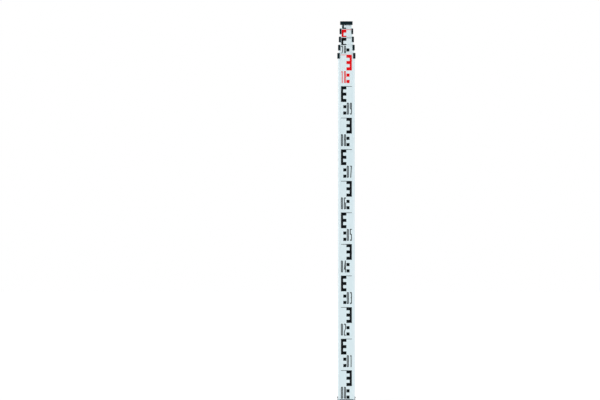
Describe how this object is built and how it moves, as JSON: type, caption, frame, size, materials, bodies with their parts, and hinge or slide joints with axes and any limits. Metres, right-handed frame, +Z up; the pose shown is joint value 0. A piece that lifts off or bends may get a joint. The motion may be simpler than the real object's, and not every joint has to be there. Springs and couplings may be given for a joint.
{
  "type": "leveling staff",
  "caption": "Telescopic leveling staff: nested aluminium sections with an E graduation in front, a centimetre scale behind, collars and spring lock buttons, on a flat foot.",
  "frame": {"origin": "centre of the foot's sole, staff collapsed and upright", "axes": "+Z up the staff, the front face with the E graduation towards -Y, +X across the front face to the reader's right"},
  "size_m": [0.0578, 0.0358, 1.206],
  "materials": {
    "coated_aluminium": "white coated panels with printed graduations, anodised rails and sides",
    "black_plastic": "fine moulded grain, semi matt",
    "dark_screw": "blackened countersunk screw",
    "guide_plastic": "plain moulded",
    "bright_steel": "zinc plated",
    "button_steel": "turned and polished crown",
    "spring_steel": "drawn wire",
    "rubber_pad": "plain rubber",
    "sole_metal": "milled, scuffed by the ground"
  },
  "bodies": {
    "section_1": {"tube_1": "coated_aluminium", "collar_1": "black_plastic", "collar_screws_1": "dark_screw", "foot_shoe": "black_plastic", "foot_buffer": "rubber_pad", "foot_screws": "dark_screw", "base_plate": "sole_metal", "base_screws": "bright_steel"},
    "section_2": {"tube_2": "coated_aluminium", "collar_2": "black_plastic", "collar_screws_2": "dark_screw", "guide_plug_2": "guide_plastic", "plug_pins_2": "bright_steel", "button_spring_2": "spring_steel"},
    "section_3": {"tube_3": "coated_aluminium", "collar_3": "black_plastic", "collar_screws_3": "dark_screw", "guide_plug_3": "guide_plastic", "plug_pins_3": "bright_steel", "button_spring_3": "spring_steel"},
    "section_4": {"tube_4": "coated_aluminium", "collar_4": "black_plastic", "collar_screws_4": "dark_screw", "guide_plug_4": "guide_plastic", "plug_pins_4": "bright_steel", "button_spring_4": "spring_steel"},
    "section_5": {"tube_5": "coated_aluminium", "top_cap": "black_plastic", "cap_screws": "dark_screw", "guide_plug_5": "guide_plastic", "plug_pins_5": "bright_steel", "button_spring_5": "spring_steel"},
    "button_2": {"lock_button_2": "button_steel"},
    "button_3": {"lock_button_3": "button_steel"},
    "button_4": {"lock_button_4": "button_steel"},
    "button_5": {"lock_button_5": "button_steel"}
  },
  "joints": [
    {"name": "section_2_slide", "type": "slide", "parent": "section_1", "child": "section_2", "axis": [0, 0, 1], "range_m": [0, 0.92]},
    {"name": "section_3_slide", "type": "slide", "parent": "section_2", "child": "section_3", "axis": [0, 0, 1], "range_m": [0, 0.926]},
    {"name": "section_4_slide", "type": "slide", "parent": "section_3", "child": "section_4", "axis": [0, 0, 1], "range_m": [0, 0.974]},
    {"name": "section_5_slide", "type": "slide", "parent": "section_4", "child": "section_5", "axis": [0, 0, 1], "range_m": [0, 0.974]},
    {"name": "lock_button_2_press", "type": "slide", "parent": "section_2", "child": "button_2", "axis": [0, -1, 0], "range_m": [0, 0.0015], "stiffness_N_per_m": 400, "springref_m": -0.004, "deforming": ["button_spring_2"]},
    {"name": "lock_button_3_press", "type": "slide", "parent": "section_3", "child": "button_3", "axis": [0, -1, 0], "range_m": [0, 0.0015], "stiffness_N_per_m": 400, "springref_m": -0.004, "deforming": ["button_spring_3"]},
    {"name": "lock_button_4_press", "type": "slide", "parent": "section_4", "child": "button_4", "axis": [0, -1, 0], "range_m": [0, 0.0015], "stiffness_N_per_m": 400, "springref_m": -0.004, "deforming": ["button_spring_4"]},
    {"name": "lock_button_5_press", "type": "slide", "parent": "section_5", "child": "button_5", "axis": [0, -1, 0], "range_m": [0, 0.0015], "stiffness_N_per_m": 400, "springref_m": -0.004, "deforming": ["button_spring_5"]}
  ]
}
